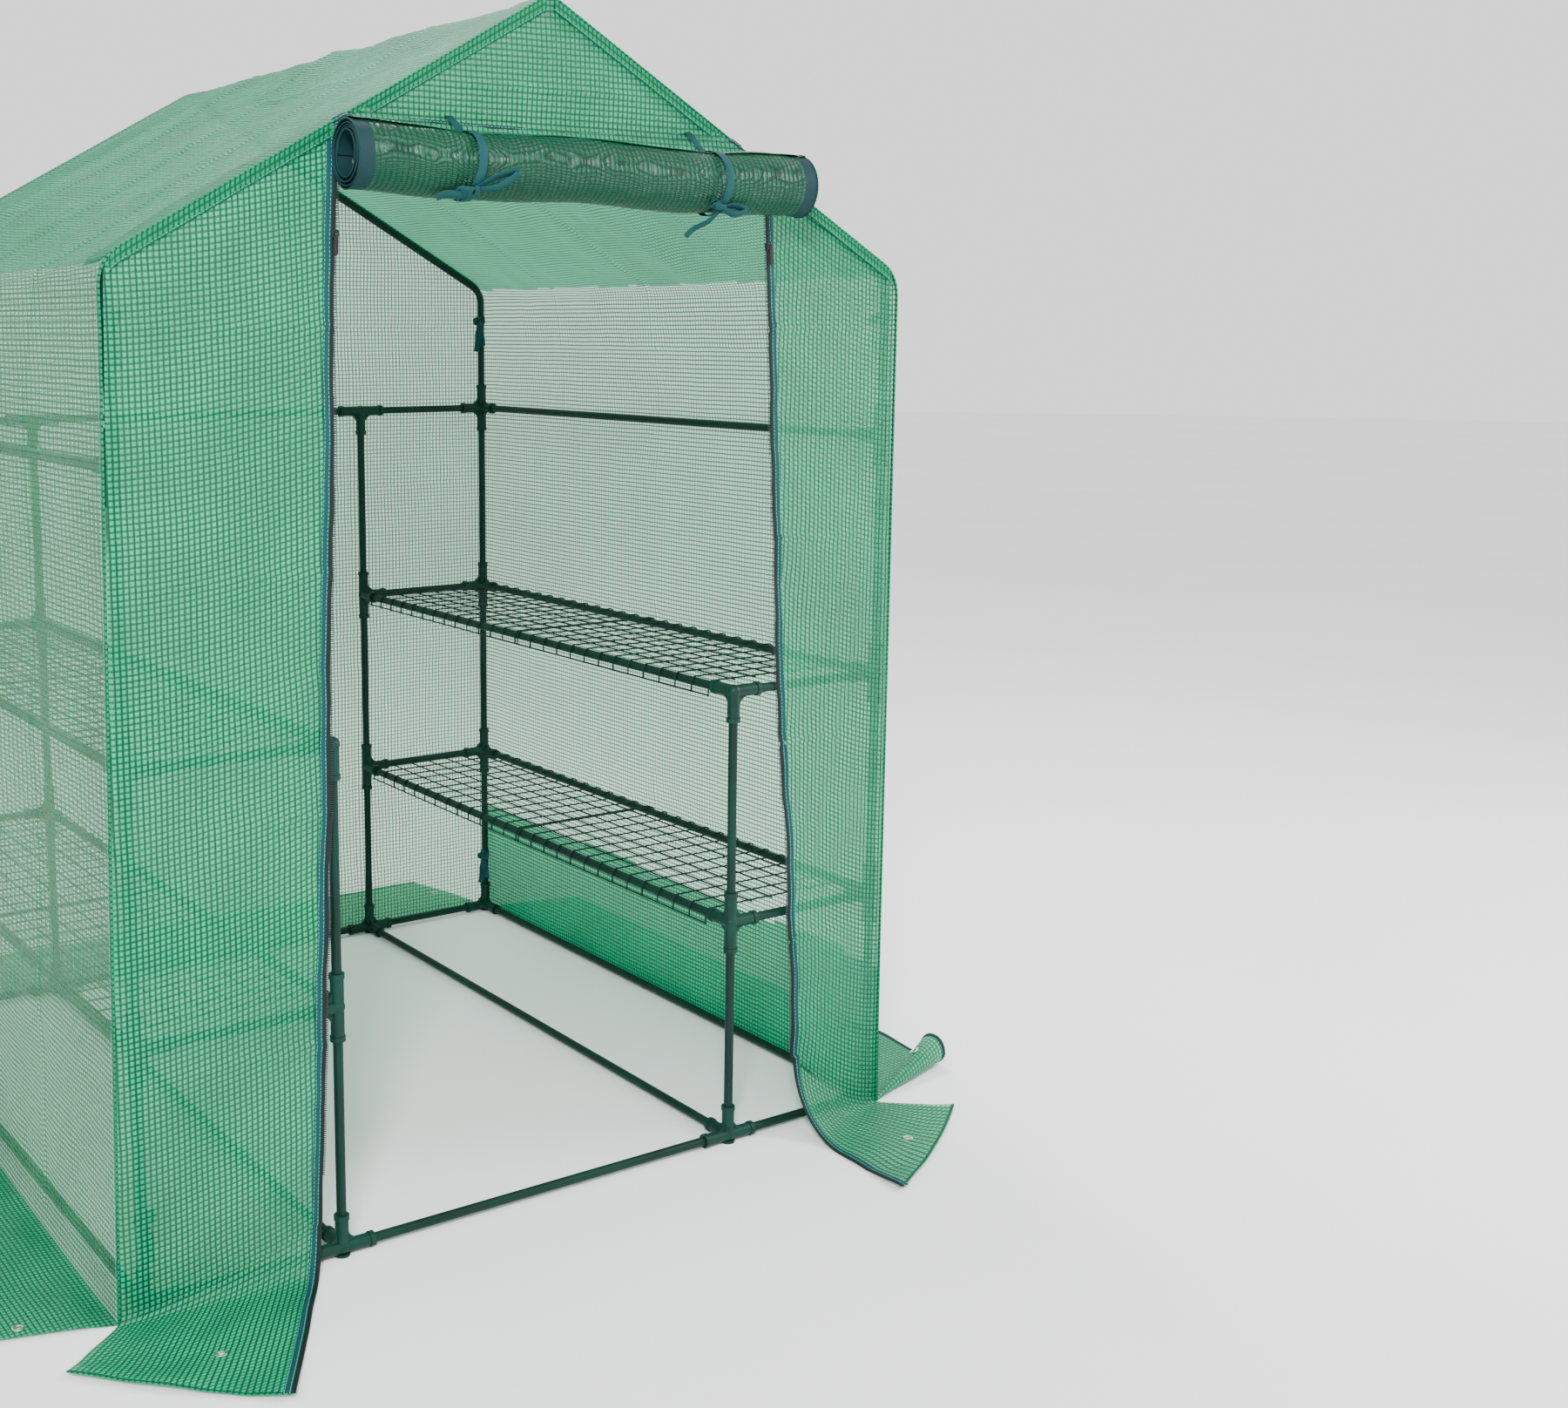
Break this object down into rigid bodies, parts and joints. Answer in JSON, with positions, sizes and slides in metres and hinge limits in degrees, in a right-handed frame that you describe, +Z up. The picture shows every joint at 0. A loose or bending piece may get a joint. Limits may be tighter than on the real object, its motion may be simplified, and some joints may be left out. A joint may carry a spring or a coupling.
{
  "type": "walk-in mini greenhouse",
  "caption": "Walk-in tube-frame greenhouse with a gabled mesh cover, roll-up door, zips, floor skirts with peg eyelets and two tiers of lift-off wire shelves.",
  "frame": {"origin": "on the floor at the middle of the plan", "axes": "+Z up, -Y out of the doorway, +X to the right when facing the door from outside"},
  "size_m": [1.9194, 2.0194, 1.9669],
  "materials": {
    "tube": "satin",
    "connector": "satin",
    "wire": "satin",
    "cover": "matte",
    "trim_tape": "matte",
    "zip": "satin",
    "eyelet": "satin",
    "slider": "satin"
  },
  "bodies": {
    "frame": {"corner_post_front_left": "tube", "corner_post_front_right": "tube", "corner_post_back_left": "tube", "corner_post_back_right": "tube", "inner_posts_front": "tube", "inner_posts_back": "tube", "rafters_front": "tube", "rafters_back": "tube", "ridge_rail": "tube", "side_rail_left": "tube", "side_rail_right": "tube", "floor_rails_left": "tube", "floor_rails_right": "tube", "shelf_rails_lower_left": "tube", "shelf_rails_lower_right": "tube", "shelf_rails_upper_left": "tube", "shelf_rails_upper_right": "tube", "shelf_end_tubes_lower": "tube", "shelf_end_tubes_upper": "tube", "front_sill": "tube", "back_sill": "tube", "back_rail": "tube", "floor_corner_connectors": "connector", "floor_tee_connectors": "connector", "corner_cross_connectors": "connector", "inner_cross_connectors": "connector", "shelf_elbow_connectors": "connector", "side_rail_connectors": "connector", "back_tee_connectors": "connector", "ridge_connectors": "connector", "cover_left_wall": "cover", "cover_right_wall": "cover", "cover_back_wall": "cover", "cover_roof_left": "cover", "cover_roof_right": "cover", "cover_front_left": "cover", "cover_front_right": "cover", "cover_front_gable": "cover", "skirt_front_left": "cover", "skirt_front_right": "cover", "skirt_back": "cover", "skirt_left": "cover", "skirt_right": "cover", "door_curtain": "cover", "door_ties": "trim_tape", "zip_tapes": "zip", "corner_ties": "trim_tape", "eyelets": "eyelet"},
    "door_roll": {"door_roll": "cover"},
    "zip_slider_left": {"zip_slider_left": "slider"},
    "zip_slider_right": {"zip_slider_right": "slider"},
    "shelf_lower_left_front": {"shelf_lower_left_front": "wire"},
    "shelf_lower_left_back": {"shelf_lower_left_back": "wire"},
    "shelf_lower_right_front": {"shelf_lower_right_front": "wire"},
    "shelf_lower_right_back": {"shelf_lower_right_back": "wire"},
    "shelf_upper_left_front": {"shelf_upper_left_front": "wire"},
    "shelf_upper_left_back": {"shelf_upper_left_back": "wire"},
    "shelf_upper_right_front": {"shelf_upper_right_front": "wire"},
    "shelf_upper_right_back": {"shelf_upper_right_back": "wire"}
  },
  "joints": [
    {"name": "door_unroll", "type": "slide", "parent": "frame", "child": "door_roll", "axis": [0, 0, -1], "range_m": [0, 1.58], "deforming": ["door_curtain", "door_ties"]},
    {"name": "zip_left", "type": "slide", "parent": "frame", "child": "zip_slider_left", "axis": [-0.0366, 0, -0.9993], "range_m": [0, 1.54]},
    {"name": "zip_right", "type": "slide", "parent": "frame", "child": "zip_slider_right", "axis": [0.0579, 0, -0.9983], "range_m": [0, 1.54]},
    {"name": "shelf_lower_left_front_lift", "type": "slide", "parent": "frame", "child": "shelf_lower_left_front", "axis": [0, 0, 1], "range_m": [0, 0.12]},
    {"name": "shelf_lower_left_back_lift", "type": "slide", "parent": "frame", "child": "shelf_lower_left_back", "axis": [0, 0, 1], "range_m": [0, 0.12]},
    {"name": "shelf_lower_right_front_lift", "type": "slide", "parent": "frame", "child": "shelf_lower_right_front", "axis": [0, 0, 1], "range_m": [0, 0.12]},
    {"name": "shelf_lower_right_back_lift", "type": "slide", "parent": "frame", "child": "shelf_lower_right_back", "axis": [0, 0, 1], "range_m": [0, 0.12]},
    {"name": "shelf_upper_left_front_lift", "type": "slide", "parent": "frame", "child": "shelf_upper_left_front", "axis": [0, 0, 1], "range_m": [0, 0.12]},
    {"name": "shelf_upper_left_back_lift", "type": "slide", "parent": "frame", "child": "shelf_upper_left_back", "axis": [0, 0, 1], "range_m": [0, 0.12]},
    {"name": "shelf_upper_right_front_lift", "type": "slide", "parent": "frame", "child": "shelf_upper_right_front", "axis": [0, 0, 1], "range_m": [0, 0.12]},
    {"name": "shelf_upper_right_back_lift", "type": "slide", "parent": "frame", "child": "shelf_upper_right_back", "axis": [0, 0, 1], "range_m": [0, 0.12]}
  ]
}
